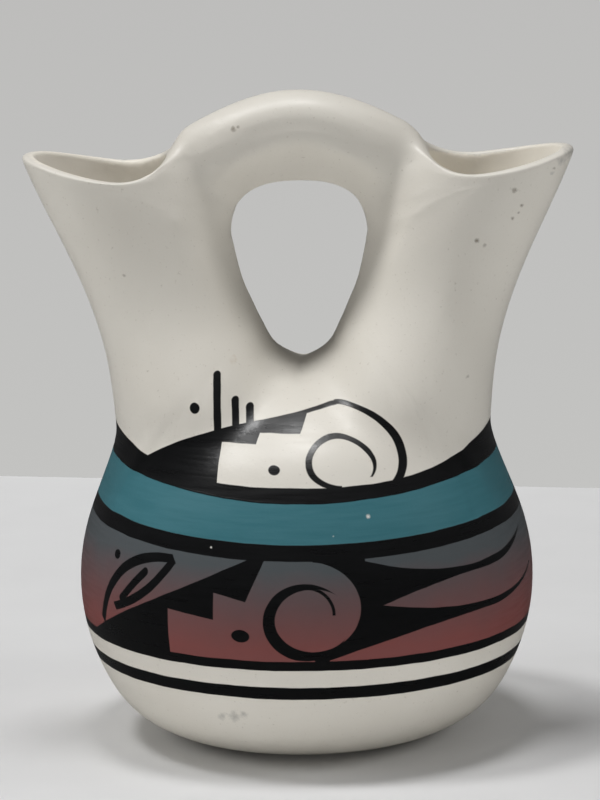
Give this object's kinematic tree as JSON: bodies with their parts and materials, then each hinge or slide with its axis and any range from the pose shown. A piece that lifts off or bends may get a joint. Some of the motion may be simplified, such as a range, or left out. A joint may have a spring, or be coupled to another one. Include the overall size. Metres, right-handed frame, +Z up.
{
  "type": "wedding vase",
  "caption": "Ceramic wedding vase: a round belly, two leaning spouts and an arched handle round an open window, with painted bands",
  "frame": {"origin": "centre of the flat foot, on the table", "axes": "+X towards the right-hand spout seen from the painted front, -Y out of the painted front, +Z up"},
  "size_m": [0.178, 0.1482, 0.2114],
  "materials": {
    "painted_ceramic": "satin cream slip with painted bands"
  },
  "bodies": {
    "root": {"vase": "painted_ceramic"}
  },
  "joints": []
}
